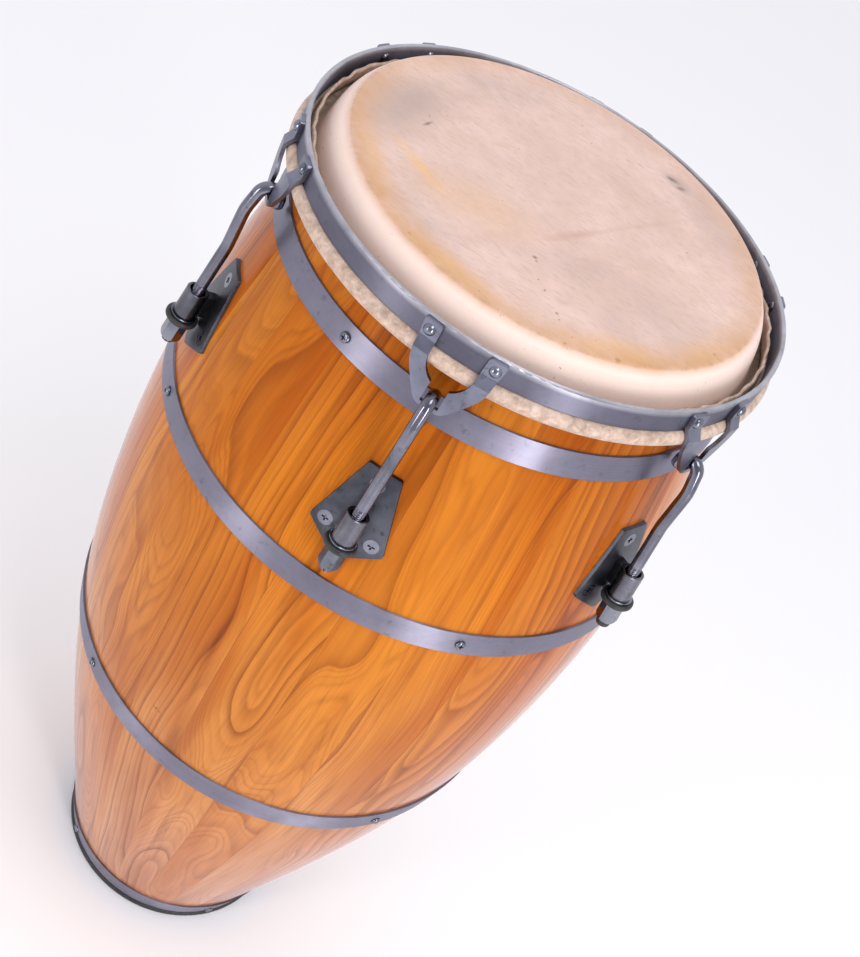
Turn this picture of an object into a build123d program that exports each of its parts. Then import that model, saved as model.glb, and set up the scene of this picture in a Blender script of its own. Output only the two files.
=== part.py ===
"""A wooden conga drum: staved shell, steel bands, rawhide head and a six-lug tuning system.

Millimetres, +Z up. The origin is the centre of the base, on the surface the drum stands on.
Azimuth 0 faces -Y and grows towards +X; lug 1 is at azimuth 0 and the lugs are numbered from there.
"""

import os
from math import atan, cos, degrees, radians, sin

from build123d import *

os.makedirs("parts", exist_ok=True)

# ---- driving dimensions -------------------------------------------------------------------------
RIM_RADIUS = 165.0  # outside of the steel rim, for a standard 11.75 inch conga head
RIM_THICKNESS = 3.0
RIM_TOP = 762.0  # a 30 inch drum
RIM_BOTTOM = 746.1

# outside of the shell as (radius, height) stations, joined by one smooth curve
SHELL_STATIONS = [
    (95.6, 6.0),
    (136.0, 151.0),
    (172.3, 312.0),
    (185.2, 465.0),
    (181.6, 565.0),
    (162.9, 680.0),
]
BEARING_START = (148.6, 753.0)  # outside of the shell where its rounded bearing edge starts
BEARING_CREST = (139.8, 769.2)
BEARING_CUT = 5.0  # height of the sloping cut inside the crest
WALL = 11.0
STAVE_COUNT = 24
GLUE_LINE = 0.1  # between neighbouring staves, at the belly
SEAT_GAP = 0.15  # between the shell and what is wrapped round it

BASE_RING_HEIGHT = 6.0
BASE_RING_RADIUS = 98.6
BAND_THICKNESS = 1.5
# band name: lowest, highest point, height of its screws, azimuths of two screws (two more lie opposite)
BANDS = {
    "upper_band": (697.0, 714.6, 705.6, (-22.3, 67.7)),
    "middle_band": (550.0, 568.2, 559.0, (-54.5, 31.5)),
    "lower_band": (301.5, 324.5, 311.8, (-39.5, 49.0)),
    "base_band": (6.2, 27.0, 13.5, (-42.8, 46.3)),
}

HOOP_RADIUS = 163.5  # centre line of the flesh hoop
HOOP_HEIGHT = 740.5
HOOP_DIAMETER = 7.0
ROLL_DIAMETER = 11.0  # the hoop with the hide wrapped round it
HIDE = 2.0
HIDE_GAP = 0.3  # between the hide and the shell
HEAD_TOP = BEARING_CREST[1] + HIDE_GAP + HIDE
HEAD_RIDGE = 1.7  # width of the rounding between the playing surface and the collar
COLLAR_FOOT = 741.5  # where the hide leaves the shell for the hoop

LUG_COUNT = 6
LUG_PITCH = 360 / LUG_COUNT
ROD_DIAMETER = 8.0  # 5/16 inch
ROD_TILT = 7.5  # the threaded end leans outwards as it goes down
ROD_BEND = (181.6, 672.0)  # radius and height where the threaded end starts
ROD_LEAN = 14.0  # lean of the short neck below the hook
ROD_NECK = 14.0
ROD_LENGTH_BELOW_BEND = 85.5
HOOK_CENTRE = (170.9, 714.2)
HOOK_RADIUS = 6.9  # centre line of the hook
HOOK_TIP_HEIGHT = 709.5

STRAP_THICKNESS = 2.6
STRAP_BOTTOM = 712.4
STRAP_TOP = 760.8
STRAP_OUTER_HALF = 26.4  # half widths of the U at its riveted tabs
STRAP_INNER_HALF = 14.8
STRAP_OFFSET = 4.5  # the U stands this much further out than the rim, to clear the roll
STRAP_STEP = (742.6, 748.6)  # heights between which it steps out
STRAP_OUTER_CURVE = [(3.0, STRAP_BOTTOM), (12.5, 718.4), (19.4, 729.5), (24.4, 744.0)]  # sideways, height
STRAP_INNER_CURVE = [(14.4, 745.0), (12.4, 737.0), (5.8, 730.0)]
HOOK_SEAT = 715.7  # floor of the notch the rod hooks into
RIVET_DIAMETER = 4.4
RIVET_HEAD = 7.4
RIVET_ANGLE = 7.2
RIVET_HEIGHT = 754.6

PLATE_THICKNESS = 2.5
PLATE_TOP = 656.3
PLATE_CORNER = 603.8
PLATE_POINT = 587.4
PLATE_TOP_HALF = 11.4
PLATE_CORNER_HALF = 25.8
PLATE_SCREWS = [(0.0, 646.1), (-16.1, 607.8), (16.1, 607.8)]  # sideways, height
PLATE_SCREW_DIAMETER = 5.0
PLATE_SCREW_HEAD = 10.0

SOCKET_DIAMETER = 15.0
SOCKET_BORE = 10.5
SOCKET_TOP = 39.8  # distances along the rod, from its lower bend
SOCKET_LENGTH = 20.6
STEEL_WASHER = (18.0, 1.5)  # diameter, thickness
RUBBER_WASHER = (22.0, 4.0)
WASHER_BORE = 8.8
NUT_ACROSS_FLATS = 12.7
NUT_HEIGHT = 15.8
NUT_BORE = 8.1
CAP_DIAMETER = 9.6
CAP_HEIGHT = 6.0
CAPPED_LUGS = (2, 3, 4, 5)

BAND_SCREW_HEAD = 7.0
BAND_SCREW_DIAMETER = 3.5
BAND_SCREW_LENGTH = 8.0
BAND_SCREW_SEAT = 0.15  # the flat underside of a head stands this far off its curved band
RUNNING_FIT = 0.05


# ---- frames and shared shapes -------------------------------------------------------------------
def radial_plane(azimuth):
    """Plane through the drum's axis: its x is the radius and its y is the height."""
    a = radians(azimuth)
    return Plane(origin=(0, 0, 0), x_dir=(sin(a), -cos(a), 0), z_dir=(-cos(a), -sin(a), 0))


def outward_plane(azimuth, radius, height, lean=0.0):
    """Plane facing away from the drum's axis, leaning back by `lean`: x is sideways and y is up."""
    a = radians(azimuth)
    t = radians(lean)
    return Plane(
        origin=(radius * sin(a), -radius * cos(a), height),
        x_dir=(cos(a), sin(a), 0),
        z_dir=(sin(a) * cos(t), -cos(a) * cos(t), sin(t)),
    )


def rod_plane(distance):
    """Plane across the threaded end of rod 1, facing down it, at a distance below its bend."""
    t = radians(ROD_TILT)
    radius = ROD_BEND[0] + distance * sin(t)
    height = ROD_BEND[1] - distance * cos(t)
    return Plane(origin=(0, -radius, height), x_dir=(1, 0, 0), z_dir=(0, -sin(t), -cos(t)))


outside_stations = [*SHELL_STATIONS, BEARING_START]
inside_stations = [(radius - WALL, height) for radius, height in SHELL_STATIONS]
inside_stations.append((BEARING_START[0] - WALL, BEARING_CREST[1] - BEARING_CUT))
profile_curve = Spline(*outside_stations)
bearing_curve = TangentArc(profile_curve @ 1, BEARING_CREST, tangent=profile_curve % 1)


def shell_radius(height):
    """Outside radius of the shell at a height, found on the profile curve by halving."""
    low, high = 0.0, 1.0
    for _ in range(40):
        middle = (low + high) / 2
        if (profile_curve @ middle).Y < height:
            low = middle
        else:
            high = middle
    return (profile_curve @ low).X


def shell_lean(height):
    """How far the shell's outside leans back from upright at a height, in degrees."""
    return degrees(atan(shell_radius(height - 1) - shell_radius(height + 1)) / 2)


def above_bearing(share, distance):
    """Point above the bearing edge: share 0 is where the edge starts and share 1 is its crest."""
    point = bearing_curve @ share
    along = bearing_curve % share
    return (point.X + along.Y * distance, point.Y - along.X * distance)


def save(piece, name):
    """Label a finished piece and write it to its own file."""
    piece.label = name
    export_step(piece, f"parts/{name}.step")


# ---- shell --------------------------------------------------------------------------------------
band_face = SEAT_GAP + BAND_THICKNESS  # outside of a band, above the shell
band_screw_planes = {}
for name, (_, _, height, azimuths) in BANDS.items():
    seat = shell_radius(height) + band_face + BAND_SCREW_SEAT
    lean = shell_lean(height)
    turns = [azimuth + half_turn for azimuth in azimuths for half_turn in (0, 180)]
    band_screw_planes[name] = [outward_plane(turn, seat, height, lean) for turn in turns]
plate_face = PLATE_THICKNESS + SEAT_GAP  # outside of a lug plate, above the shell
plate_screw_planes = []
for lug in range(LUG_COUNT):
    for sideways, height in PLATE_SCREWS:
        azimuth = lug * LUG_PITCH + degrees(sideways / shell_radius(height))
        plate_screw_planes.append(
            outward_plane(azimuth, shell_radius(height) + plate_face, height, shell_lean(height))
        )

stave_angle = 360 / STAVE_COUNT
glue_angle = degrees(GLUE_LINE / SHELL_STATIONS[3][0])
with BuildPart() as shell_staves:
    for stave in range(STAVE_COUNT):
        with BuildSketch(radial_plane((stave - 0.5) * stave_angle + glue_angle / 2)):
            with BuildLine():
                outside = Spline(*outside_stations)
                inside = Spline(*inside_stations)
                TangentArc(outside @ 1, BEARING_CREST, tangent=outside % 1)
                Line(BEARING_CREST, inside @ 1)
                Line(outside @ 0, inside @ 0)
            make_face()
        revolve(axis=Axis.Z, revolution_arc=stave_angle - glue_angle)
    for planes in band_screw_planes.values():
        with Locations(*planes):
            Hole(radius=BAND_SCREW_DIAMETER / 2 + RUNNING_FIT, depth=BAND_SCREW_LENGTH + 1)
    with Locations(*plate_screw_planes):
        Hole(radius=PLATE_SCREW_DIAMETER / 2 + RUNNING_FIT, depth=2 * WALL)
save(shell_staves.part, "shell_staves")

base_inner = SHELL_STATIONS[0][0] - WALL
with BuildPart() as base_ring:
    with BuildSketch(radial_plane(0)):
        with Locations(((BASE_RING_RADIUS + base_inner) / 2, BASE_RING_HEIGHT / 2)):
            Rectangle(BASE_RING_RADIUS - base_inner, BASE_RING_HEIGHT)
        fillet(vertices().group_by(Axis.X)[-1], radius=2.2)
    revolve(axis=Axis.Z)
save(base_ring.part, "base_ring")

# ---- bands and their screws ---------------------------------------------------------------------
for name, (low, high, _, _) in BANDS.items():
    middle = (low + high) / 2
    with BuildPart() as band:
        with BuildSketch(radial_plane(0)):
            with BuildLine():
                inner = ThreePointArc(*[(shell_radius(z) + SEAT_GAP, z) for z in (low, middle, high)])
                outer = ThreePointArc(*[(shell_radius(z) + band_face, z) for z in (low, middle, high)])
                Line(inner @ 0, outer @ 0)
                Line(inner @ 1, outer @ 1)
            make_face()
        revolve(axis=Axis.Z)
        with Locations(*band_screw_planes[name]):
            Hole(radius=BAND_SCREW_DIAMETER / 2 + RUNNING_FIT, depth=3 * BAND_THICKNESS)
    save(band.part, name)

head_rise = 2.2
with BuildPart() as band_screw:
    Cylinder(BAND_SCREW_DIAMETER / 2, BAND_SCREW_LENGTH, align=(Align.CENTER, Align.CENTER, Align.MAX))
    Cylinder(BAND_SCREW_HEAD / 2, head_rise, align=(Align.CENTER, Align.CENTER, Align.MIN))
    fillet(edges().sort_by(Axis.Z)[-1], radius=1.6)
    with BuildSketch(Plane.XY.offset(head_rise)):
        Rectangle(3.6, 0.9)
        Rectangle(0.9, 3.6)
    extrude(amount=-1.3, mode=Mode.SUBTRACT)

for name, planes in band_screw_planes.items():
    with BuildPart() as screws:
        add([band_screw.part.moved(plane.location) for plane in planes])
    save(screws.part, name + "_screws")

# ---- head, hoop and rim -------------------------------------------------------------------------
with BuildPart() as flesh_hoop:
    with BuildSketch(radial_plane(0)):
        with Locations((HOOP_RADIUS, HOOP_HEIGHT)):
            Circle(HOOP_DIAMETER / 2)
    revolve(axis=Axis.Z)
save(flesh_hoop.part, "flesh_hoop")

hide_outer = [above_bearing(share, HIDE_GAP + HIDE) for share in (1, 0.5, 0)]
hide_inner = [above_bearing(share, HIDE_GAP) for share in (0, 0.5, 1)]
collar_radius = shell_radius(COLLAR_FOOT) + HIDE_GAP
tuck = HOOP_RADIUS - HOOP_DIAMETER / 2  # radius where the hide passes under the hoop
with BuildPart() as drum_head:
    with BuildSketch(radial_plane(0)):
        with BuildLine():
            flat_end = (hide_outer[0][0] - HEAD_RIDGE, HEAD_TOP)
            Polyline(hide_inner[2], (0, hide_inner[2][1]), (0, HEAD_TOP), flat_end)
            TangentArc(flat_end, hide_outer[0], tangent=(1, 0))
            ThreePointArc(*hide_outer)
            Polyline(
                hide_outer[2],
                (collar_radius + HIDE, COLLAR_FOOT + 1.2),
                (tuck, HOOP_HEIGHT - 3.0),
                (tuck, HOOP_HEIGHT - 4.6),
                (collar_radius, COLLAR_FOOT),
                hide_inner[0],
            )
            ThreePointArc(*hide_inner)
        make_face()
        with Locations((HOOP_RADIUS, HOOP_HEIGHT)):
            Circle(ROLL_DIAMETER / 2)
            Circle(HOOP_DIAMETER / 2 + RUNNING_FIT, mode=Mode.SUBTRACT)
    revolve(axis=Axis.Z)
save(drum_head.part, "drum_head")

rivet_planes = [
    outward_plane(lug * LUG_PITCH + side * RIVET_ANGLE, RIM_RADIUS + STRAP_THICKNESS, RIVET_HEIGHT)
    for lug in range(LUG_COUNT)
    for side in (-1, 1)
]
with BuildPart() as rim:
    with BuildSketch(radial_plane(0)):
        with Locations((RIM_RADIUS - RIM_THICKNESS / 2, (RIM_TOP + RIM_BOTTOM) / 2)):
            Rectangle(RIM_THICKNESS, RIM_TOP - RIM_BOTTOM)
        fillet(vertices().group_by(Axis.Y)[-1], radius=0.9)
        fillet(vertices().group_by(Axis.Y)[0], radius=0.4)
    revolve(axis=Axis.Z)
    with Locations(*rivet_planes):
        Hole(radius=RIVET_DIAMETER / 2 + RUNNING_FIT, depth=3 * RIM_THICKNESS)
save(rim.part, "rim")

strap_inner = RIM_RADIUS + 0.1
strap_low = strap_inner + STRAP_OFFSET
strap_sweep = 24  # degrees of the rim the strap is cut from
with BuildPart() as rim_strap:
    with BuildSketch(radial_plane(-strap_sweep / 2)):
        with BuildLine():
            Polyline(
                (strap_inner, STRAP_TOP),
                (strap_inner, STRAP_STEP[1]),
                (strap_low, STRAP_STEP[0]),
                (strap_low, STRAP_BOTTOM - 1),
                (strap_low + STRAP_THICKNESS, STRAP_BOTTOM - 1),
                (strap_low + STRAP_THICKNESS, STRAP_STEP[0] + 1),
                (strap_inner + STRAP_THICKNESS, STRAP_STEP[1] + 1),
                (strap_inner + STRAP_THICKNESS, STRAP_TOP),
                close=True,
            )
        make_face()
    revolve(axis=Axis.Z, revolution_arc=strap_sweep)
    with BuildSketch(outward_plane(0, 0, 0)):
        with BuildLine():
            notch_corner = STRAP_INNER_CURVE[-1]
            Line((0, STRAP_BOTTOM), STRAP_OUTER_CURVE[0])
            Spline(*STRAP_OUTER_CURVE, tangents=((1, 0), (0.08, 1)))
            Polyline(
                STRAP_OUTER_CURVE[-1],
                (STRAP_OUTER_HALF, STRAP_TOP),
                (STRAP_INNER_HALF, STRAP_TOP),
                STRAP_INNER_CURVE[0],
            )
            Spline(*STRAP_INNER_CURVE, tangents=((0, -1), (-0.9, -0.5)))
            Polyline(notch_corner, (notch_corner[0], HOOK_SEAT), (0, HOOK_SEAT), (0, STRAP_BOTTOM))
        make_face()
        mirror(about=Plane.YZ)
    extrude(amount=RIM_RADIUS + 20, mode=Mode.INTERSECT)
    fillet(edges().filter_by(Axis.Y).group_by(Axis.Z)[-1], radius=1.5)
    with Locations(*rivet_planes[:2]):
        Hole(radius=RIVET_DIAMETER / 2 + RUNNING_FIT, depth=3 * STRAP_THICKNESS)

rivet_foot = -(STRAP_THICKNESS + RIM_THICKNESS + 0.3)  # underside of the flattened head inside the rim
foot_height = 1.0
dome_base = 0.15  # height of the domed head above the strap
dome_top = 2.6
dome_radius = ((RIVET_HEAD / 2) ** 2 + (dome_top - dome_base) ** 2) / (2 * (dome_top - dome_base))
dome_shoulder = (RIVET_HEAD / 4, dome_top - dome_radius + (dome_radius**2 - (RIVET_HEAD / 4) ** 2) ** 0.5)
with BuildPart() as rivet:
    with BuildSketch(Plane.XZ):
        with BuildLine():
            Polyline(
                (0, dome_top),
                (0, rivet_foot - foot_height),
                (2.4, rivet_foot - foot_height),
                (3.1, rivet_foot),
                (RIVET_DIAMETER / 2, rivet_foot),
                (RIVET_DIAMETER / 2, dome_base),
                (RIVET_HEAD / 2, dome_base),
            )
            ThreePointArc((RIVET_HEAD / 2, dome_base), dome_shoulder, (0, dome_top))
        make_face()
    revolve(axis=Axis.Z)
with BuildPart() as strap_rivets:
    add([rivet.part.moved(plane.location) for plane in rivet_planes])
save(strap_rivets.part, "strap_rivets")

# ---- tension rod --------------------------------------------------------------------------------
rod_tip = rod_plane(ROD_LENGTH_BELOW_BEND).origin
with BuildPart() as tension_rod:
    with BuildLine(radial_plane(0)) as rod_line:
        hook_start = (HOOK_CENTRE[0] - HOOK_RADIUS, HOOK_CENTRE[1])
        Line((hook_start[0], HOOK_TIP_HEIGHT), hook_start)
        CenterArc(HOOK_CENTRE, HOOK_RADIUS, 180, -(180 - ROD_LEAN))
        lean_cos, lean_sin = cos(radians(ROD_LEAN)), sin(radians(ROD_LEAN))
        neck_top = (HOOK_CENTRE[0] + HOOK_RADIUS * lean_cos, HOOK_CENTRE[1] + HOOK_RADIUS * lean_sin)
        shoulder = (neck_top[0] + ROD_NECK * lean_sin, neck_top[1] - ROD_NECK * lean_cos)
        FilletPolyline(neck_top, shoulder, ROD_BEND, (-rod_tip.Y, rod_tip.Z), radius=(40.0, 60.0))
    with BuildSketch(Plane(origin=rod_line.line @ 0, z_dir=rod_line.line % 0)):
        Circle(ROD_DIAMETER / 2)
    sweep()
    ends = faces().filter_by(GeomType.PLANE).sort_by(Axis.Z)
    chamfer(ends[0].edges(), length=0.8)
    chamfer(ends[-1].edges(), length=0.8)

# ---- what is on the threaded end ----------------------------------------------------------------
washer_top = SOCKET_TOP + SOCKET_LENGTH
rubber_top = washer_top + STEEL_WASHER[1]
nut_top = rubber_top + RUBBER_WASHER[1]
nut_bottom = nut_top + NUT_HEIGHT

with BuildPart() as steel_washer:
    with BuildSketch(rod_plane(washer_top)):
        Circle(STEEL_WASHER[0] / 2)
        Circle(WASHER_BORE / 2, mode=Mode.SUBTRACT)
    extrude(amount=STEEL_WASHER[1])
    chamfer(edges().filter_by(GeomType.CIRCLE).sort_by(SortBy.LENGTH)[-2:], length=0.3)

with BuildPart() as rubber_washer:
    with BuildSketch(rod_plane(rubber_top)):
        Circle(RUBBER_WASHER[0] / 2)
        Circle(WASHER_BORE / 2, mode=Mode.SUBTRACT)
    extrude(amount=RUBBER_WASHER[1])
    fillet(edges().filter_by(GeomType.CIRCLE).sort_by(SortBy.LENGTH)[-2:], radius=1.5)

with BuildPart() as tuning_nut:
    with BuildSketch(rod_plane(nut_top)):
        RegularPolygon(NUT_ACROSS_FLATS / 2, 6, major_radius=False)
        Circle(NUT_BORE / 2, mode=Mode.SUBTRACT)
    extrude(amount=NUT_HEIGHT)
    with BuildSketch(rod_plane(nut_bottom)):
        Circle(NUT_ACROSS_FLATS / 2 + 0.2)
    extrude(amount=-NUT_HEIGHT, taper=-30, mode=Mode.INTERSECT)

cap_wall = 1.6
with BuildPart() as nut_cap:
    with BuildSketch(rod_plane(nut_bottom + 0.1)):
        Circle(CAP_DIAMETER / 2)
    extrude(amount=CAP_HEIGHT)
    fillet(edges().group_by(Axis.Z)[0], radius=2.4)
    with BuildSketch(rod_plane(nut_bottom + 0.1)):
        Circle(ROD_DIAMETER / 2 + 0.1)
    extrude(amount=CAP_HEIGHT - cap_wall, mode=Mode.SUBTRACT)

# ---- lug plate and socket -----------------------------------------------------------------------
plate_sweep = 24  # degrees of the shell the plate is cut from
with BuildPart() as lug_plate:
    heights = (PLATE_POINT - 5, (PLATE_POINT + PLATE_TOP) / 2, PLATE_TOP + 5)
    with BuildSketch(radial_plane(-plate_sweep / 2)):
        with BuildLine():
            inner = ThreePointArc(*[(shell_radius(z) + SEAT_GAP, z) for z in heights])
            outer = ThreePointArc(*[(shell_radius(z) + plate_face, z) for z in heights])
            Line(inner @ 0, outer @ 0)
            Line(inner @ 1, outer @ 1)
        make_face()
    revolve(axis=Axis.Z, revolution_arc=plate_sweep)
    with BuildSketch(outward_plane(0, 0, 0)):
        with BuildLine():
            Polyline(
                (0, PLATE_POINT),
                (PLATE_CORNER_HALF, PLATE_CORNER),
                (PLATE_TOP_HALF, PLATE_TOP),
                (-PLATE_TOP_HALF, PLATE_TOP),
                (-PLATE_CORNER_HALF, PLATE_CORNER),
                close=True,
            )
        make_face()
        fillet(vertices(), radius=1.8)
    extrude(amount=RIM_RADIUS + 30, mode=Mode.INTERSECT)
    with Locations(*plate_screw_planes[:3]):
        CounterSinkHole(
            radius=PLATE_SCREW_DIAMETER / 2 + RUNNING_FIT,
            counter_sink_radius=PLATE_SCREW_HEAD / 2 + RUNNING_FIT,
            depth=4 * PLATE_THICKNESS,
        )

web_width = 7.0
with BuildPart() as lug_socket:
    with BuildSketch(rod_plane(SOCKET_TOP)):
        Circle(SOCKET_DIAMETER / 2)
    extrude(amount=SOCKET_LENGTH)
    with BuildSketch(radial_plane(0)):
        with BuildLine():
            top = rod_plane(SOCKET_TOP + 2).origin
            bottom = rod_plane(SOCKET_TOP + SOCKET_LENGTH - 2).origin
            Polyline(
                (-top.Y, top.Z),
                (-bottom.Y, bottom.Z),
                (shell_radius(bottom.Z) + plate_face / 2, bottom.Z),
                (shell_radius(top.Z) + plate_face / 2, top.Z),
                close=True,
            )
        make_face()
    extrude(amount=web_width / 2, both=True)
    with BuildSketch(rod_plane(SOCKET_TOP)):
        Circle(SOCKET_BORE / 2)
    extrude(amount=SOCKET_LENGTH, mode=Mode.SUBTRACT)
    add(lug_plate.part, mode=Mode.SUBTRACT)
    chamfer(edges().filter_by(GeomType.CIRCLE).group_by(Axis.Z)[-1], length=0.5)

plate_screw_length = PLATE_THICKNESS + WALL + 7.5
head_depth = (PLATE_SCREW_HEAD - PLATE_SCREW_DIAMETER) / 2
with BuildPart() as plate_screw:
    with BuildSketch(Plane.XZ):
        with BuildLine():
            Polyline(
                (0, 0),
                (PLATE_SCREW_HEAD / 2, 0),
                (PLATE_SCREW_DIAMETER / 2, -head_depth),
                (PLATE_SCREW_DIAMETER / 2, -plate_screw_length),
                (0, -plate_screw_length),
                close=True,
            )
        make_face()
    revolve(axis=Axis.Z)
    with BuildSketch(Plane.XY):
        Rectangle(4.8, 1.2)
        Rectangle(1.2, 4.8)
    extrude(amount=-1.6, mode=Mode.SUBTRACT)

inner_face = PLATE_THICKNESS + SEAT_GAP + WALL + 0.5  # from a screw's head to the washer behind the wall
inner_washer_thickness = 1.2
with BuildPart() as inner_washer:
    with BuildSketch(Plane.XY.offset(-inner_face)):
        Circle(6.0)
        Circle(PLATE_SCREW_DIAMETER / 2 + RUNNING_FIT, mode=Mode.SUBTRACT)
    extrude(amount=-inner_washer_thickness)
with BuildPart() as inner_nut:
    with BuildSketch(Plane.XY.offset(-inner_face - inner_washer_thickness)):
        RegularPolygon(4.0, 6, major_radius=False)
        Circle(PLATE_SCREW_DIAMETER / 2 + RUNNING_FIT, mode=Mode.SUBTRACT)
    extrude(amount=-4.0)

# ---- one of each per lug ------------------------------------------------------------------------
per_lug = {
    "rim_strap": rim_strap,
    "tension_rod": tension_rod,
    "tuning_nut": tuning_nut,
    "nut_cap": nut_cap,
    "lug_plate": lug_plate,
    "lug_socket": lug_socket,
}
for name, builder in per_lug.items():
    for lug in range(1, LUG_COUNT + 1):
        if name == "nut_cap" and lug not in CAPPED_LUGS:
            continue
        piece = builder.part.rotate(Axis.Z, (lug - 1) * LUG_PITCH)
        save(piece, f"{name}_{lug}")

# ---- identical small pieces, one group each -----------------------------------------------------
washers = {"steel_washers": steel_washer, "rubber_washers": rubber_washer}
for name, builder in washers.items():
    with BuildPart() as group:
        add([builder.part.rotate(Axis.Z, lug * LUG_PITCH) for lug in range(LUG_COUNT)])
    save(group.part, name)

per_plate_screw = {"plate_screws": plate_screw, "inner_washers": inner_washer, "inner_nuts": inner_nut}
for name, builder in per_plate_screw.items():
    with BuildPart() as group:
        add([builder.part.moved(plane.location) for plane in plate_screw_planes])
    save(group.part, name)
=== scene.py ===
"""The looks of a wooden conga drum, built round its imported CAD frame. Metres, +Z up, origin at the base."""

import math

import bpy
from mathutils import Matrix, Vector, noise


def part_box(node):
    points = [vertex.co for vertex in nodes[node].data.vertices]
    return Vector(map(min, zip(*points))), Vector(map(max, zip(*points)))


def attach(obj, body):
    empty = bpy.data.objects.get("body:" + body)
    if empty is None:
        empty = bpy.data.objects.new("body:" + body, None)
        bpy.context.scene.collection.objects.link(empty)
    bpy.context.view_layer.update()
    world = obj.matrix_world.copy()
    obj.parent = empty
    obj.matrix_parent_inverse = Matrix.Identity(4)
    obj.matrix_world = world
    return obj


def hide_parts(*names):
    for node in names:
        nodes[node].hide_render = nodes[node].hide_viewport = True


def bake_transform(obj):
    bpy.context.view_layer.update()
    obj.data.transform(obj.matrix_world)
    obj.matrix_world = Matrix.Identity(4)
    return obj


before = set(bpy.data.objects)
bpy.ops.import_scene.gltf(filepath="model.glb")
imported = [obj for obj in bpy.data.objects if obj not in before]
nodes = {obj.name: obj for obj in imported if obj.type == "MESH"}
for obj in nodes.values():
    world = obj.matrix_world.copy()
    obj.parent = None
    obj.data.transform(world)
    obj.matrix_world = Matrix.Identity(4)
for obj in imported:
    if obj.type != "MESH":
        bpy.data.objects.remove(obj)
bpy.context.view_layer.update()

# ---- sizes shared with the drum's design ---------------------------------------------------------
LUGS = 6
STAVES = 24
RING_WIDTH = 0.0048  # of a year's growth in the wood
RIM_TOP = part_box("rim")[1][2]
RIM_HIGHLIGHT = 0.0012  # depth of the painted highlight along its top edge
HOOP_RADIUS = 0.1635
HOOP_HEIGHT = 0.7405
ROD_RADIUS = 0.004
ROD_TILT = math.radians(7.5)
ROD_BEND = (0.1816, 0.672)
ROD_LEAN = math.radians(14.0)
ROD_NECK = 0.014
ROD_LENGTH_BELOW_BEND = 0.0855
HOOK_CENTRE = (0.1709, 0.7142)
HOOK_RADIUS = 0.0069
HOOK_TIP_HEIGHT = 0.7095
HEAD_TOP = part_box("drum_head")[1][2]
HIDE_HALF = 0.0009
BEARING_CENTRE = (0.11838, 0.74707)  # of the arc of the shell's bearing edge
BEARING_ROUND = 0.0308
BEARING_LEAN = math.radians(11.1)
BEARING_END = math.radians(44.5)
THREAD_PITCH = 0.0254 / 18
THREAD_START = 0.034  # below the rod's lower bend

# marks on the head: middle, half sizes, turn, strength, colour
SMUDGE = (0.40, 0.31, 0.27)
YELLOW = (0.80, 0.47, 0.18)
INK = (0.14, 0.08, 0.06)
HIDE_MARKS = (
    (-0.110, 0.000, 0.024, 0.062, 0.0, 0.60, SMUDGE),
    (-0.078, 0.080, 0.060, 0.026, 0.7, 0.35, SMUDGE),
    (0.054, 0.103, 0.017, 0.009, 0.0, 0.75, SMUDGE),
    (0.080, 0.080, 0.060, 0.026, -0.6, 0.22, SMUDGE),
    (-0.055, -0.105, 0.040, 0.022, -0.4, 0.35, SMUDGE),
    (0.088, -0.062, 0.050, 0.030, 0.8, 0.30, SMUDGE),
    (0.028, -0.060, 0.045, 0.020, 0.6, 0.25, SMUDGE),
    (-0.0945, -0.0105, 0.0062, 0.0016, 1.3, 0.9, INK),
    (0.0510, 0.1030, 0.0060, 0.0030, 0.2, 0.8, INK),
    (0.0590, 0.0985, 0.0050, 0.0028, 0.5, 0.7, INK),
    (-0.082, -0.056, 0.032, 0.0075, -0.51, 0.65, YELLOW),
    (-0.040, -0.060, 0.050, 0.030, 0.3, 0.25, YELLOW),
    (0.068, -0.112, 0.050, 0.014, 0.55, 0.65, YELLOW),
    (-0.030, -0.128, 0.055, 0.011, -0.22, 0.60, YELLOW),
    (0.118, -0.060, 0.034, 0.012, 1.1, 0.50, YELLOW),
    (-0.105, -0.075, 0.040, 0.010, -0.95, 0.50, YELLOW),
    (0.018, -0.026, 0.036, 0.0042, 1.03, 0.55, (0.52, 0.30, 0.22)),
    (0.050, 0.028, 0.065, 0.0028, 1.03, 0.40, (0.60, 0.38, 0.28)),
    (-0.020, -0.075, 0.060, 0.0060, 1.03, 0.25, (0.60, 0.38, 0.28)),
)
# dots on the head: middle and half size
HIDE_DOTS = (
    (0.0046, -0.0734, 0.0022),
    (0.0065, -0.0760, 0.0012),
    (0.0196, -0.0974, 0.0013),
    (0.0321, -0.1107, 0.0016),
    (0.0350, -0.1150, 0.0010),
    (0.0443, -0.1317, 0.0018),
    (0.0743, -0.1172, 0.0024),
    (-0.0600, -0.1235, 0.0014),
    (0.1230, -0.0560, 0.0016),
)


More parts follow.
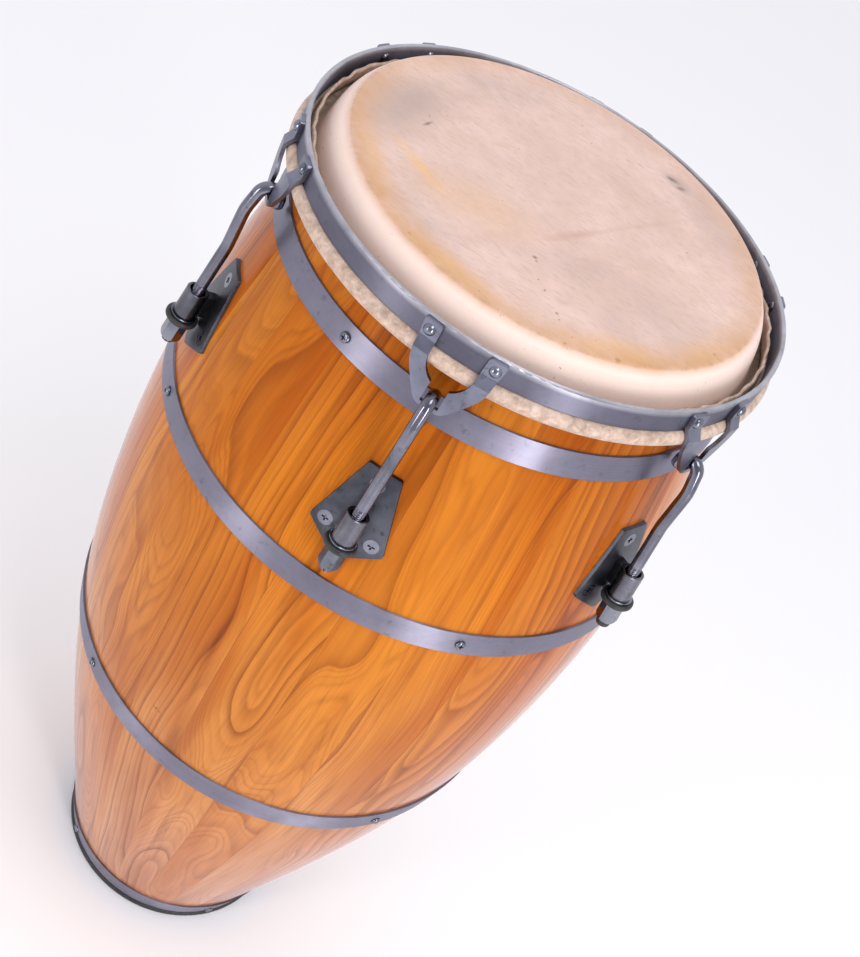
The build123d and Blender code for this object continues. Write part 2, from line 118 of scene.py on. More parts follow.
# ---- camera, floor and light ---------------------------------------------------------------------
def add_camera():
    azimuth, elevation, roll = math.radians(1.0), math.radians(29.19), math.radians(32.34)
    distance = 0.9428
    target = Vector((0.0011 * math.cos(azimuth), 0.0011 * math.sin(azimuth), 0.5064))
    place = Vector(
        (
            distance * math.cos(elevation) * math.sin(azimuth),
            -distance * math.cos(elevation) * math.cos(azimuth),
            RIM_TOP + distance * math.sin(elevation),
        )
    )
    forward = (target - place).normalized()
    level_right = forward.cross(Vector((0, 0, 1))).normalized()
    level_up = level_right.cross(forward)
    right = math.cos(roll) * level_right + math.sin(roll) * level_up
    up = math.cos(roll) * level_up - math.sin(roll) * level_right
    data = bpy.data.cameras.new("camera")
    data.sensor_width = 36.0
    data.lens = 56.46
    data.shift_x = 0.0418
    data.clip_end = 50
    camera = bpy.data.objects.new("camera", data)
    bpy.context.scene.collection.objects.link(camera)
    turn = Matrix((right, up, -forward)).transposed().to_4x4()
    camera.matrix_world = Matrix.Translation(place) @ turn
    bpy.context.scene.camera = camera


def add_area_light(name, place, aim, size, power, colour=(1, 1, 1)):
    data = bpy.data.lights.new(name, "AREA")
    data.shape = "RECTANGLE"
    data.size, data.size_y = size
    data.energy = power
    data.color = colour
    light = bpy.data.objects.new(name, data)
    light.location = place
    light.rotation_euler = (Vector(aim) - Vector(place)).to_track_quat("-Z", "Y").to_euler()
    bpy.context.scene.collection.objects.link(light)


def new_material(name):
    """A new node material, with its node tree and its Principled shader."""
    material = bpy.data.materials.new(name)
    material.use_nodes = True
    shader = material.node_tree.nodes["Principled BSDF"]
    return material, material.node_tree, shader


def add_node(tree, kind, inputs=None, **settings):
    """Add a node, set its attributes, and link or set its inputs."""
    node = tree.nodes.new(kind)
    for key, value in settings.items():
        setattr(node, key, value)
    for key, value in (inputs or {}).items():
        if isinstance(value, bpy.types.NodeSocket):
            tree.links.new(value, node.inputs[key])
        else:
            node.inputs[key].default_value = value
    return node


def math_node(tree, operation, a, b=None, clamp=False):
    inputs = {0: a}
    if b is not None:
        inputs[1] = b
    return add_node(tree, "ShaderNodeMath", inputs, operation=operation, use_clamp=clamp).outputs[0]


def ramp(tree, factor, *stops):
    """Colour ramp from (position, colour) stops."""
    node = add_node(tree, "ShaderNodeValToRGB", {"Fac": factor})
    elements = node.color_ramp.elements
    while len(elements) < len(stops):
        elements.new(0.5)
    for element, (position, colour) in zip(elements, stops):
        element.position = position
        element.color = (*colour, 1)
    return node.outputs["Color"]


def grey(value):
    return (value, value, value)


def mix_colour(tree, factor, a, b, blend="MIX"):
    node = add_node(tree, "ShaderNodeMix", data_type="RGBA", blend_type=blend)
    for socket, value in ((node.inputs[0], factor), (node.inputs[6], a), (node.inputs[7], b)):
        if isinstance(value, bpy.types.NodeSocket):
            tree.links.new(value, socket)
        else:
            socket.default_value = value if isinstance(value, float) else (*value, 1)
    return node.outputs[2]


def axis_distance(tree, x, y):
    """Length of (x, y), which for object coordinates is the distance from the drum's axis."""
    squares = math_node(tree, "ADD", math_node(tree, "POWER", x, 2.0), math_node(tree, "POWER", y, 2.0))
    return math_node(tree, "SQRT", squares)


def noise_node(tree, vector, scale, detail=2.0, roughness=0.5, distortion=0.0, dimensions="3D"):
    inputs = {"Scale": scale, "Detail": detail, "Roughness": roughness, "Distortion": distortion}
    inputs["W" if dimensions == "1D" else "Vector"] = vector
    return add_node(tree, "ShaderNodeTexNoise", inputs, noise_dimensions=dimensions).outputs["Fac"]


def bump(tree, shader, height, strength, distance):
    node = add_node(tree, "ShaderNodeBump", {"Height": height, "Strength": strength, "Distance": distance})
    tree.links.new(node.outputs["Normal"], shader.inputs["Normal"])


def add_floor():
    mesh = bpy.data.meshes.new("floor")
    half = 14.0
    corners = [(-half, -half, 0), (half, -half, 0), (half, half, 0), (-half, half, 0)]
    mesh.from_pydata(corners, [], [(0, 1, 2, 3)])
    floor = bpy.data.objects.new("floor", mesh)
    bpy.context.scene.collection.objects.link(floor)
    material, tree, shader = new_material("floor_paper")
    place = add_node(tree, "ShaderNodeTexCoord").outputs["Object"]
    tone = noise_node(tree, place, 0.4)
    colour = ramp(tree, tone, (0.3, grey(0.955)), (0.7, grey(0.97)))
    tree.links.new(colour, shader.inputs["Base Color"])
    shader.inputs["Roughness"].default_value = 0.9
    shader.inputs["Specular IOR Level"].default_value = 0.1
    mesh.materials.append(material)


def add_lights():
    """A white tent that is darker at the front, with soft lamps at both sides and above."""
    world = bpy.data.worlds.new("studio")
    world.use_nodes = True
    tree = world.node_tree
    background = tree.nodes["Background"]
    direction = add_node(tree, "ShaderNodeTexCoord").outputs["Generated"]
    facing = add_node(
        tree, "ShaderNodeVectorMath", {0: direction, 1: (0.1, -0.95, 0.28)}, operation="DOT_PRODUCT"
    ).outputs["Value"]
    behind, beside, front = (0.94, 0.94, 0.98), (0.84, 0.83, 0.88), (0.50, 0.49, 0.56)
    tent = ramp(tree, facing, (0.0, behind), (0.45, beside), (0.9, front))
    tree.links.new(tent, background.inputs["Color"])
    background.inputs["Strength"].default_value = 1.04
    bpy.context.scene.world = world
    add_area_light("left_lamp", (-1.15, -1.7, 0.75), (0, 0, 0.5), (0.28, 1.1), 9, (1.0, 0.97, 0.95))
    add_area_light("right_lamp", (1.35, -1.5, 0.8), (0, 0, 0.5), (0.30, 1.2), 15, (1.0, 0.98, 0.98))
    add_area_light("top_panel", (0.5, -0.75, 2.3), (0, 0, 0.7), (0.8, 0.8), 10)


# ---- wood ----------------------------------------------------------------------------------------
def wood_material():
    """Lacquered ash staves: each stave has its own figure, tone and place in the log."""
    material, tree, shader = new_material("lacquered_ash")
    place = add_node(tree, "ShaderNodeTexCoord").outputs["Object"]
    axes = add_node(tree, "ShaderNodeSeparateXYZ", {0: place})
    x, y, z = axes.outputs
    stave_angle = 2 * math.pi / STAVES
    angle = math_node(tree, "ARCTAN2", x, math_node(tree, "MULTIPLY", y, -1.0))
    turns = math_node(tree, "ADD", math_node(tree, "DIVIDE", angle, stave_angle), 0.5 + STAVES)
    index = math_node(tree, "FLOOR", turns)
    across = math_node(tree, "SUBTRACT", math_node(tree, "FRACT", turns), 0.5)
    width = math_node(tree, "MULTIPLY", axis_distance(tree, x, y), stave_angle)
    sideways = math_node(tree, "MULTIPLY", across, width)
    dice = add_node(tree, "ShaderNodeTexWhiteNoise", {"W": index}, noise_dimensions="1D")
    red, green, blue = add_node(tree, "ShaderNodeSeparateColor", {0: dice.outputs["Color"]}).outputs
    stave_row = math_node(tree, "MULTIPLY", index, 3.7)
    board = add_node(tree, "ShaderNodeCombineXYZ", {0: sideways, 1: stave_row, 2: z}).outputs[0]

    def along_board(across_scale, along_scale, detail=2.0, roughness=0.5):
        """Noise on the stave, drawn out along it."""
        scale = (across_scale, 1.0, along_scale)
        vector = add_node(tree, "ShaderNodeVectorMath", {0: board, 1: scale}, operation="MULTIPLY").outputs[0]
        return noise_node(tree, vector, 1.0, detail, roughness)

    # distance from the heart of the log, which wanders along the stave
    wander = math_node(tree, "SUBTRACT", along_board(10.0, 2.5, 2.0, 0.42), 0.5)
    wander = math_node(tree, "MULTIPLY", wander, 0.11)
    depth = math_node(tree, "ADD", math_node(tree, "MULTIPLY", blue, 0.045), wander)
    slope = math_node(tree, "MULTIPLY", math_node(tree, "SUBTRACT", red, 0.5), 0.07)
    depth = math_node(tree, "ADD", depth, math_node(tree, "MULTIPLY", z, slope))
    heart_side = math_node(tree, "MULTIPLY", math_node(tree, "SUBTRACT", green, 0.5), 0.05)
    side = math_node(tree, "ADD", sideways, heart_side)
    distance = axis_distance(tree, side, depth)
    ripple = math_node(tree, "SUBTRACT", along_board(70.0, 12.0, 3.0), 0.5)
    ripple = math_node(tree, "MULTIPLY", ripple, 0.0022)
    uneven = noise_node(tree, math_node(tree, "MULTIPLY", distance, 110.0), 1.0, 1.0, dimensions="1D")
    uneven = math_node(tree, "MULTIPLY", uneven, 0.006)
    rings = math_node(tree, "ADD", math_node(tree, "ADD", distance, ripple), uneven)
    rings = math_node(tree, "DIVIDE", rings, RING_WIDTH)
    stave_offset = math_node(tree, "MULTIPLY", index, 31.0)
    ring_number = math_node(tree, "ADD", math_node(tree, "FLOOR", rings), stave_offset)
    ring_noise = add_node(tree, "ShaderNodeTexWhiteNoise", {"W": ring_number}, noise_dimensions="1D")
    ring_dice = ring_noise.outputs["Value"]
    ring_strength = ramp(tree, ring_dice, (0.0, grey(0.08)), (0.6, grey(0.36)), (1.0, grey(1.0)))
    ring_shape = ramp(
        tree,
        math_node(tree, "FRACT", rings),
        (0.0, grey(0.0)),
        (0.12, grey(0.9)),
        (0.26, grey(0.7)),
        (0.62, grey(0.22)),
        (1.0, grey(0.0)),
    )
    ring_line = math_node(tree, "MULTIPLY", ring_shape, ring_strength)
    thin = math_node(tree, "FRACT", math_node(tree, "MULTIPLY", rings, 2.7))
    thin = ramp(tree, thin, (0.0, grey(0.0)), (0.2, grey(1.0)), (0.6, grey(0.0)))
    thin_strength = math_node(tree, "SUBTRACT", 0.36, math_node(tree, "MULTIPLY", ring_dice, 0.3))
    thin_line = math_node(tree, "MULTIPLY", thin, thin_strength)

    pore = ramp(tree, along_board(1000.0, 26.0, 2.0, 0.6), (0.54, grey(0.0)), (0.72, grey(1.0)))
    fibre = along_board(420.0, 7.0, 3.0, 0.6)
    stain = ramp(tree, along_board(26.0, 3.6, 3.0, 0.55), (0.40, grey(0.0)), (0.60, grey(1.0)))
    streak = ramp(tree, along_board(60.0, 3.6, 4.0, 0.62), (0.55, grey(0.0)), (0.67, grey(1.0)))
    pale = ramp(tree, along_board(16.0, 2.0, 2.0, 0.5), (0.48, grey(0.0)), (0.66, grey(1.0)))
    mark = ramp(tree, noise_node(tree, place, 60.0, 4.0, 0.75), (0.71, grey(0.0)), (0.745, grey(1.0)))

    by_height = ramp(
        tree,
        z,
        (0.02, (0.60, 0.305, 0.205)),
        (0.30, (0.56, 0.245, 0.112)),
        (0.50, (0.62, 0.205, 0.034)),
        (0.60, (0.60, 0.148, 0.001)),
        (0.70, (0.44, 0.082, 0.000)),
    )
    tone = mix_colour(tree, math_node(tree, "MULTIPLY", blue, 0.45), by_height, (0.82, 0.32, 0.03))
    tone = mix_colour(tree, math_node(tree, "MULTIPLY", green, 0.55), tone, (0.55, 0.155, 0.012))
    deep = mix_colour(tree, 1.0, tone, (0.78, 0.62, 0.45), "MULTIPLY")
    body = mix_colour(tree, stain, deep, tone)
    body = mix_colour(tree, math_node(tree, "MULTIPLY", pale, 0.25), body, (0.90, 0.38, 0.05))
    silk = ramp(tree, fibre, (0.25, grey(0.86)), (0.75, grey(1.0)))
    body = mix_colour(tree, 1.0, body, silk, "MULTIPLY")
    dark = mix_colour(tree, 1.0, body, (0.42, 0.27, 0.18), "MULTIPLY")
    grained = mix_colour(tree, math_node(tree, "MAXIMUM", ring_line, thin_line), body, dark)
    brown = mix_colour(tree, 1.0, grained, (0.46, 0.31, 0.22), "MULTIPLY")
    grained = mix_colour(tree, math_node(tree, "MULTIPLY", streak, 0.6), grained, brown)
    pore_depth = math_node(tree, "ADD", math_node(tree, "MULTIPLY", ring_line, 0.5), 0.17)
    pore_factor = math_node(tree, "MULTIPLY", pore, pore_depth)
    colour = mix_colour(tree, pore_factor, grained, (0.22, 0.075, 0.02))
    colour = mix_colour(tree, math_node(tree, "MULTIPLY", mark, 0.7), colour, (0.14, 0.06, 0.03))
    tree.links.new(colour, shader.inputs["Base Color"])
    gloss = ramp(tree, ring_line, (0.0, grey(0.32)), (1.0, grey(0.44)))
    tree.links.new(gloss, shader.inputs["Roughness"])
    shader.inputs["Specular IOR Level"].default_value = 0.03
    shader.inputs["Coat Weight"].default_value = 0.9
    shader.inputs["Coat IOR"].default_value = 1.14
    shader.inputs["Coat Roughness"].default_value = 0.12
    shader.inputs["Sheen Weight"].default_value = 0.16
    shader.inputs["Sheen Roughness"].default_value = 0.30
    shader.inputs["Sheen Tint"].default_value = (1.0, 0.86, 0.95, 1.0)
    bump(tree, shader, pore_factor, 0.08, 0.0004)
    return material


# ---- metal ---------------------------------------------------------------------------------------
def metal_material(
    name, colour, roughness, streaks=0.0, grime=0.2, round_drum=False, highlight_above=None, shade_radii=None
):
    """Plated or satin steel with a fine grain, smudges and small dark marks.

    Above the given height of the top edge it is lightened to a pale colour, a painted highlight; the two
    radii given last bound painted shade, dark nearer the axis and fading out by the second.
    """
    material, tree, shader = new_material(name)
    place = add_node(tree, "ShaderNodeTexCoord").outputs["Object"]
    grain_space = place
    if round_drum:  # brushed round the drum: the grain changes fast with height and hardly round it
        grain_space = add_node(
            tree, "ShaderNodeVectorMath", {0: place, 1: (0.06, 0.06, 14.0)}, operation="MULTIPLY"
        ).outputs[0]
        shader.inputs["Anisotropic"].default_value = 0.9
        shader.inputs["Anisotropic Rotation"].default_value = 0.25
        tangent = add_node(tree, "ShaderNodeTangent", direction_type="RADIAL", axis="Z")
        tree.links.new(tangent.outputs[0], shader.inputs["Tangent"])
    smudge = noise_node(tree, place, 38.0, 4.0, 0.6)
    mark = ramp(tree, noise_node(tree, place, 150.0, 3.0, 0.65), (0.60, grey(0.0)), (0.72, grey(1.0)))
    fine = noise_node(tree, grain_space, 220.0, 3.0, 0.6)
    light = tuple(min(1.0, c * 1.18) for c in colour)
    dim = tuple(c * (1.0 - 0.7 * grime) for c in colour)
    base = mix_colour(tree, ramp(tree, smudge, (0.32, grey(0.0)), (0.68, grey(1.0))), dim, light)
    shade = tuple(c * 0.5 for c in colour)
    streaked = mix_colour(tree, math_node(tree, "MULTIPLY", fine, streaks), base, shade)
    marked = mix_colour(tree, math_node(tree, "MULTIPLY", mark, grime), streaked, (0.05, 0.045, 0.04))
    x, y, z = add_node(tree, "ShaderNodeSeparateXYZ", {0: place}).outputs
    # painted highlight: above the given height the colour turns pale, standing in for light along the top
    # edge
    if highlight_above:
        edge = ramp(tree, z, (highlight_above - 0.0004, grey(0.0)), (highlight_above, grey(1.0)))
        marked = mix_colour(tree, math_node(tree, "MULTIPLY", edge, smudge), marked, (0.85, 0.85, 0.90))
    # painted shade: near the axis the colour turns almost black, standing in for the shadow between the
    # socket and the lug plate
    if shade_radii:
        darkening = ramp(tree, axis_distance(tree, x, y), (shade_radii[0], grey(0.95)), (shade_radii[1], grey(0.0)))
        marked = mix_colour(tree, darkening, marked, (0.012, 0.011, 0.012))
    tree.links.new(marked, shader.inputs["Base Color"])
    shader.inputs["Metallic"].default_value = 1.0
    rough = math_node(tree, "MULTIPLY", math_node(tree, "ADD", smudge, 0.5), roughness)
    rough = math_node(tree, "ADD", rough, math_node(tree, "MULTIPLY", fine, 0.2 * streaks), clamp=True)
    tree.links.new(rough, shader.inputs["Roughness"])
    bump(tree, shader, fine, 0.12 + 0.2 * streaks, 0.0002)
    return material


def rubber_material():
    material, tree, shader = new_material("black_rubber")
    place = add_node(tree, "ShaderNodeTexCoord").outputs["Object"]
    dust = noise_node(tree, place, 240.0, 4.0, 0.6)
    tree.links.new(ramp(tree, dust, (0.35, grey(0.010)), (0.75, grey(0.035))), shader.inputs["Base Color"])
    tree.links.new(ramp(tree, dust, (0.3, grey(0.38)), (0.8, grey(0.62))), shader.inputs["Roughness"])
    bump(tree, shader, dust, 0.15, 0.0003)
    return material


# ---- hide ----------------------------------------------------------------------------------------
def hide_material():
    """Rawhide: pinkish cream and fibrous, with grey smudges, a yellow worn ridge, streaks and specks."""
    material, tree, shader = new_material("rawhide")
    place = add_node(tree, "ShaderNodeTexCoord").outputs["Object"]
    axes = add_node(tree, "ShaderNodeSeparateXYZ", {0: place})
    x, y, z = axes.outputs
    radius = axis_distance(tree, x, y)
    cloud = noise_node(tree, place, 13.0, 4.0, 0.6, 0.6)
    mottle = noise_node(tree, place, 75.0, 5.0, 0.65)
    hair_space = add_node(
        tree, "ShaderNodeVectorMath", {0: place, 1: (140.0, 620.0, 500.0)}, operation="MULTIPLY"
    ).outputs[0]
    hair = noise_node(tree, hair_space, 1.0, 4.0, 0.68)
    clouds = ramp(tree, cloud, (0.32, grey(0.0)), (0.68, grey(1.0)))
    base = mix_colour(tree, clouds, (0.66, 0.46, 0.385), (0.80, 0.585, 0.505))
    blotches = math_node(tree, "MULTIPLY", ramp(tree, mottle, (0.45, grey(0.0)), (0.72, grey(1.0))), 0.6)
    base = mix_colour(tree, blotches, base, (0.66, 0.46, 0.36))
    hairs = math_node(tree, "MULTIPLY", ramp(tree, hair, (0.50, grey(0.0)), (0.72, grey(1.0))), 0.65)
    base = mix_colour(tree, hairs, base, (0.52, 0.37, 0.31))

    def spot(px, py, size_x, size_y, turn=0.0, wobbly=1.6):
        """Soft oval patch on the playing surface, 1 at its middle."""
        dx = math_node(tree, "SUBTRACT", x, px)
        dy = math_node(tree, "SUBTRACT", y, py)
        c, s = math.cos(turn), math.sin(turn)
        u = math_node(tree, "ADD", math_node(tree, "MULTIPLY", dx, c), math_node(tree, "MULTIPLY", dy, s))
        v = math_node(tree, "ADD", math_node(tree, "MULTIPLY", dx, -s), math_node(tree, "MULTIPLY", dy, c))
        u2 = math_node(tree, "POWER", math_node(tree, "DIVIDE", u, size_x), 2.0)
        v2 = math_node(tree, "POWER", math_node(tree, "DIVIDE", v, size_y), 2.0)
        wobble = math_node(tree, "MULTIPLY", math_node(tree, "SUBTRACT", cloud, 0.5), wobbly)
        wobble = math_node(
            tree, "ADD", wobble, math_node(tree, "MULTIPLY", math_node(tree, "SUBTRACT", mottle, 0.5), 0.9)
        )
        far = math_node(tree, "ADD", math_node(tree, "SQRT", math_node(tree, "ADD", u2, v2)), wobble)
        return math_node(tree, "SUBTRACT", 1.0, far, clamp=True)

    for px, py, sx, sy, turn, strength, colour in HIDE_MARKS:
        patch = math_node(tree, "MULTIPLY", spot(px, py, sx, sy, turn), strength)
        base = mix_colour(tree, patch, base, colour)
    for px, py, size in HIDE_DOTS:
        dot = math_node(tree, "MULTIPLY", spot(px, py, size, size, 0.0, 0.6), 0.9)
        base = mix_colour(tree, dot, base, INK)

    crest = ramp(
        tree,
        radius,
        (0.0, grey(0.0)),
        (0.118, grey(0.0)),
        (0.132, grey(0.6)),
        (0.1400, grey(1.0)),
        (0.1420, grey(0.35)),
        (0.145, grey(0.05)),
        (1.0, grey(0.0)),
    )
    patchy = ramp(tree, noise_node(tree, place, 24.0, 3.0, 0.6), (0.34, grey(0.4)), (0.60, grey(1.0)))
    from_front = math_node(tree, "ADD", y, 0.15)
    side = ramp(tree, from_front, (0.0, grey(1.0)), (0.13, grey(0.85)), (0.27, grey(0.3)))
    worn = math_node(tree, "MULTIPLY", math_node(tree, "MULTIPLY", crest, patchy), side)
    base = mix_colour(tree, math_node(tree, "MULTIPLY", worn, 0.95), base, (0.58, 0.29, 0.09))
    edge = ramp(
        tree,
        radius,
        (0.0, grey(0.0)),
        (0.1378, grey(0.0)),
        (0.1396, grey(1.0)),
        (0.1412, grey(0.0)),
        (1.0, grey(0.0)),
    )
    scuffed = ramp(tree, noise_node(tree, place, 130.0, 3.0, 0.7), (0.48, grey(0.0)), (0.66, grey(1.0)))
    scuff = math_node(tree, "MULTIPLY", math_node(tree, "MULTIPLY", edge, scuffed), side)
    base = mix_colour(tree, math_node(tree, "MULTIPLY", scuff, 0.9), base, (0.30, 0.14, 0.05))
    # painted light: the collar's colour is made paler and pinker to stand in for the light falling on it
    collar_highlight = ramp(
        tree,
        radius,
        (0.0, grey(0.0)),
        (0.1405, grey(0.0)),
        (0.144, grey(1.0)),
        (0.152, grey(1.0)),
        (0.155, grey(0.0)),
    )
    base = mix_colour(tree, math_node(tree, "MULTIPLY", collar_highlight, 0.85), base, (0.95, 0.76, 0.66))
    specks = ramp(tree, noise_node(tree, place, 420.0, 2.0, 0.5), (0.70, grey(0.0)), (0.75, grey(1.0)))
    sparse = ramp(tree, noise_node(tree, place, 33.0, 1.0, 0.5), (0.5, grey(0.0)), (0.62, grey(1.0)))
    speck = math_node(tree, "MULTIPLY", math_node(tree, "MULTIPLY", specks, sparse), 0.7)
    base = mix_colour(tree, speck, base, INK)

    # the roll and the trimmed edge outside the collar are dirtier
    outside = ramp(tree, radius, (0.0, grey(0.0)), (0.153, grey(0.0)), (0.156, grey(1.0)))
    dirt = ramp(tree, noise_node(tree, place, 170.0, 5.0, 0.72, 0.4), (0.36, grey(0.0)), (0.66, grey(1.0)))
    base = mix_colour(tree, math_node(tree, "MULTIPLY", outside, 0.6), base, (0.66, 0.53, 0.42))
    darkening = math_node(tree, "MULTIPLY", math_node(tree, "MULTIPLY", outside, dirt), 0.8)
    base = mix_colour(tree, darkening, base, (0.30, 0.20, 0.14))
    tree.links.new(base, shader.inputs["Base Color"])
    tree.links.new(ramp(tree, mottle, (0.3, grey(0.42)), (0.7, grey(0.6))), shader.inputs["Roughness"])
    shader.inputs["Specular IOR Level"].default_value = 0.4
    shader.inputs["Subsurface Weight"].default_value = 0.1
    shader.inputs["Subsurface Radius"].default_value = (0.004, 0.002, 0.001)
    shader.inputs["Subsurface Scale"].default_value = 0.5
    relief = math_node(tree, "ADD", mottle, math_node(tree, "MULTIPLY", hair, 0.6))
    bump(tree, shader, relief, 0.2, 0.0006)
    return material


def mesh_object(name, points, faces, material):
    mesh = bpy.data.meshes.new(name)
    mesh.from_pydata(points, [], faces)
    mesh.materials.append(material)
    for polygon in mesh.polygons:
        polygon.use_smooth = True
    mesh.validate()
    piece = bpy.data.objects.new(name, mesh)
    bpy.context.scene.collection.objects.link(piece)
    return piece


def offset_outline(line, half):
    """The two sides of an open centre line of (r, z) points, each half a thickness away."""
    left, right = [], []
    for i, (r, z) in enumerate(line):
        r0, z0 = line[max(i - 1, 0)]
        r1, z1 = line[min(i + 1, len(line) - 1)]
        length = math.hypot(r1 - r0, z1 - z0)
        nr, nz = -(z1 - z0) / length, (r1 - r0) / length
        left.append((r + nr * half, z + nz * half))
        right.append((r - nr * half, z - nz * half))
    return left, right


def hide_line():
    """Centre line of the hide as (r, z): out over the head, down the collar, round the hoop and up."""
    half = HIDE_HALF
    top = HEAD_TOP - half - 0.00015
    line = [(0.1386 * (i / 24) ** 0.9 + 0.0004, top) for i in range(25)]
    line += [(0.1397, top - 0.00006), (0.1404, top - 0.0003)]
    off = half + 0.00035  # above the bearing edge
    start, end = BEARING_LEAN, BEARING_END
    for i in range(15):
        a = end + (start - end) * i / 14
        arc = BEARING_ROUND + off
        line.append((BEARING_CENTRE[0] + arc * math.cos(a), BEARING_CENTRE[1] + arc * math.sin(a)))
    line += [(0.1512, 0.7475), (0.1522, 0.7430), (0.1545, 0.7392), (0.1580, 0.7370)]
    for i in range(25):
        a = math.radians(-128 + i * 11.2)
        line.append((HOOP_RADIUS + 0.0046 * math.cos(a), HOOP_HEIGHT + 0.0046 * math.sin(a)))
    line += [(0.1592, 0.7463), (0.1585, 0.7490), (0.1578, 0.7520), (0.1572, 0.7545)]
    return line


def build_hide(material):
    line = hide_line()
    steps = 480
    half = HIDE_HALF
    left, right = offset_outline(line, half)
    outline = left + right[::-1]
    count = len(line)
    tail = 6
    points = []
    for j in range(steps):
        a = 2 * math.pi * j / steps
        direction = Vector((math.sin(a), -math.cos(a), 0))
        ragged = 0.0018 * noise.noise(Vector((math.sin(a) * 6, math.cos(a) * 6, 2.0))) + 0.0014 * noise.noise(
            Vector((math.sin(a) * 22, math.cos(a) * 22, 5.0))
        )
        flute = math.sin(a * 46 + 3 * noise.noise(Vector((math.sin(a) * 3, math.cos(a) * 3, 8.0))))
        gather = 0.5 + 0.5 * noise.noise(Vector((math.sin(a) * 1.5, math.cos(a) * 1.5, 12.0)))
        for k, (r, z) in enumerate(outline):
            i = k if k < count else 2 * count - 1 - k
            up = max(0, i - (count - 1 - tail)) / tail  # 0 on the hoop, 1 at the trimmed edge
            spread = noise.noise(Vector((math.sin(a) * r * 40, math.cos(a) * r * 40, z * 30)))
            r += 0.0008 * flute * up * gather + 0.00025 * spread * (1 if r > 0.146 else 0)
            z += ragged * up - 0.00015 * abs(spread) * (1 if r < 0.139 else 0)
            points.append((direction.x * r, direction.y * r, z))
    ring = len(outline)
    faces = []
    for j in range(steps):
        m = (j + 1) % steps
        for k in range(ring - 1):
            faces.append((j * ring + k, j * ring + k + 1, m * ring + k + 1, m * ring + k))
    centre_top = len(points)
    points.append((0, 0, line[0][1] + half))
    points.append((0, 0, line[0][1] - half))
    for j in range(steps):
        m = (j + 1) % steps
        faces.append((centre_top, j * ring, m * ring))
        faces.append((centre_top + 1, m * ring + ring - 1, j * ring + ring - 1))
    hide = mesh_object("rawhide_head", points, faces, material)
    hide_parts("drum_head")
    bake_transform(hide)


# ---- tension rods --------------------------------------------------------------------------------
def rod_line():
    """Centre line of a rod in its own plane as (r, z), from the tip of its hook to its threaded end."""
    line = []
    start = HOOK_CENTRE[0] - HOOK_RADIUS
    for i in range(5):
        line.append((start, HOOK_TIP_HEIGHT + (HOOK_CENTRE[1] - HOOK_TIP_HEIGHT) * i / 4))
    for i in range(1, 25):
        a = math.pi - (math.pi - ROD_LEAN) * i / 24
        line.append((HOOK_CENTRE[0] + HOOK_RADIUS * math.cos(a), HOOK_CENTRE[1] + HOOK_RADIUS * math.sin(a)))
    neck = line[-1]
    shoulder = (neck[0] + ROD_NECK * math.sin(ROD_LEAN), neck[1] - ROD_NECK * math.cos(ROD_LEAN))
    tip = (
        ROD_BEND[0] + ROD_LENGTH_BELOW_BEND * math.sin(ROD_TILT),
        ROD_BEND[1] - ROD_LENGTH_BELOW_BEND * math.cos(ROD_TILT),
    )
    corners = [neck, shoulder, ROD_BEND, tip]
    radii = [0.040, 0.060]
    for k in (1, 2):
        before, corner, after = (Vector(corners[k - 1]), Vector(corners[k]), Vector(corners[k + 1]))
        a, b = (before - corner).normalized(), (after - corner).normalized()
        half_turn = (math.pi - a.angle(b)) / 2
        reach = radii[k - 1] * math.tan(half_turn)
        p, q = corner + a * reach, corner + b * reach
        for i in range(9):
            t = i / 8
            point = (1 - t) ** 2 * p + 2 * t * (1 - t) * corner + t**2 * q
            line.append((point.x, point.y))
    last = Vector(line[-1])
    end = Vector(tip)
    straight = (end - last).length
    step = THREAD_PITCH / 8
    count = int(straight / step)
    for i in range(1, count + 1):
        point = last + (end - last) * (i / count)
        line.append((point.x, point.y))
    return line


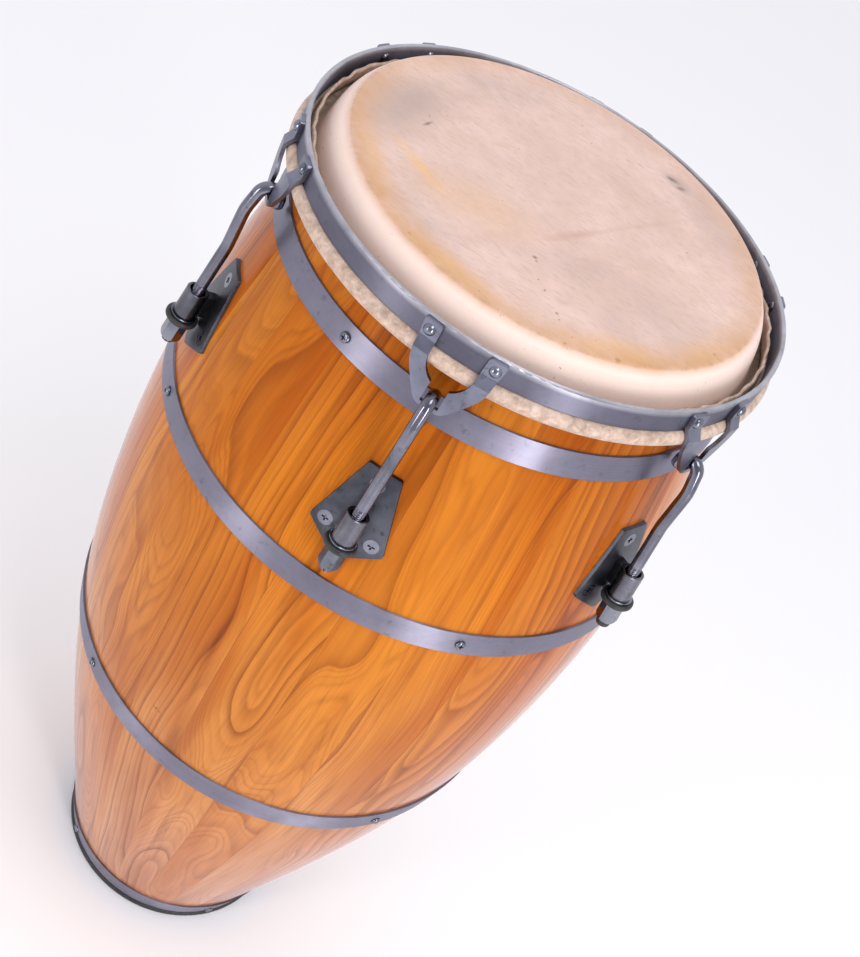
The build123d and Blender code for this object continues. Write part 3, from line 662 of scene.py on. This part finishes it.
def build_rod(number, material):
    line = rod_line()
    sides = 28
    turn = (number - 1) * 2 * math.pi / LUGS
    direction = Vector((math.sin(turn), -math.cos(turn), 0))
    across = Vector((math.cos(turn), math.sin(turn), 0))
    bend = Vector(ROD_BEND)
    down = Vector((math.sin(ROD_TILT), -math.cos(ROD_TILT)))
    points = []
    for i, (r, z) in enumerate(line):
        before, after = line[max(i - 1, 0)], line[min(i + 1, len(line) - 1)]
        tangent = Vector((after[0] - before[0], after[1] - before[1])).normalized()
        normal = Vector((-tangent.y, tangent.x))
        s = (Vector((r, z)) - bend).dot(down)
        for k in range(sides):
            a = 2 * math.pi * k / sides
            radius = ROD_RADIUS
            if i in (0, len(line) - 1):
                radius -= 0.0008
            elif z < ROD_BEND[1] and s > THREAD_START:
                fade = min(1.0, (s - THREAD_START) / 0.002)
                wave = abs(((s / THREAD_PITCH + a / (2 * math.pi)) % 1.0) * 2 - 1)
                radius -= 0.0007 * fade * wave
            out = normal * math.cos(a) * radius
            side = across * math.sin(a) * radius
            points.append(direction * (r + out.x) + Vector((0, 0, z + out.y)) + side)
    faces = []
    for i in range(len(line) - 1):
        for k in range(sides):
            m = (k + 1) % sides
            faces.append((i * sides + k, i * sides + m, (i + 1) * sides + m, (i + 1) * sides + k))
    faces.append(tuple(range(sides))[::-1])
    last = (len(line) - 1) * sides
    faces.append(tuple(range(last, last + sides)))
    rod = mesh_object(f"threaded_rod_{number}", [tuple(p) for p in points], faces, material)
    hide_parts(f"tension_rod_{number}")
    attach(rod, f"rod_{number}")


# ---- put it together -----------------------------------------------------------------------------
add_camera()
add_floor()
add_lights()

wood = wood_material()
band_steel = metal_material(
    "brushed_band", (0.30, 0.287, 0.365), 0.38, streaks=0.5, grime=0.3, round_drum=True
)
rim_steel = metal_material(
    "satin_rim",
    (0.20, 0.196, 0.255),
    0.44,
    streaks=0.35,
    grime=0.3,
    round_drum=True,
    # a painted highlight along the rim's top edge
    highlight_above=RIM_TOP - RIM_HIGHLIGHT,
)
strap_steel = metal_material("plated_strap", (0.22, 0.225, 0.29), 0.32, grime=0.5)
bright_steel = metal_material("bright_plate", (0.23, 0.24, 0.285), 0.20, grime=0.7)
rod_steel = metal_material("rod_plate", (0.19, 0.19, 0.235), 0.16, grime=0.5)
# the socket is painted dark near the lug plate: painted shade of the gap between them
socket_steel = metal_material("socket_steel", (0.17, 0.17, 0.20), 0.28, grime=0.6, shade_radii=(0.185, 0.190))
plate_steel = metal_material("dark_plate", (0.115, 0.12, 0.145), 0.40, grime=0.9)
rubber = rubber_material()
hide = hide_material()

materials = {
    "shell_staves": wood,
    "rim_strap": strap_steel,
    "rim": rim_steel,
    "flesh_hoop": bright_steel,
    "strap_rivets": bright_steel,
    "steel_washers": bright_steel,
    "plate_screws": bright_steel,
    "inner": bright_steel,
    "tuning_nut": bright_steel,
    "nut_cap": rubber,
    "rubber": rubber,
    "base_ring": rubber,
    "lug_plate": plate_steel,
    "lug_socket": socket_steel,
}
for name, node in nodes.items():
    chosen = next((material for start, material in materials.items() if name.startswith(start)), None)
    if "_band" in name:
        chosen = bright_steel if name.endswith("_screws") else band_steel
    if chosen:
        node.data.materials.clear()
        node.data.materials.append(chosen)

build_hide(hide)
for lug in range(1, LUGS + 1):
    build_rod(lug, rod_steel)

bpy.context.scene.view_settings.view_transform = "Standard"
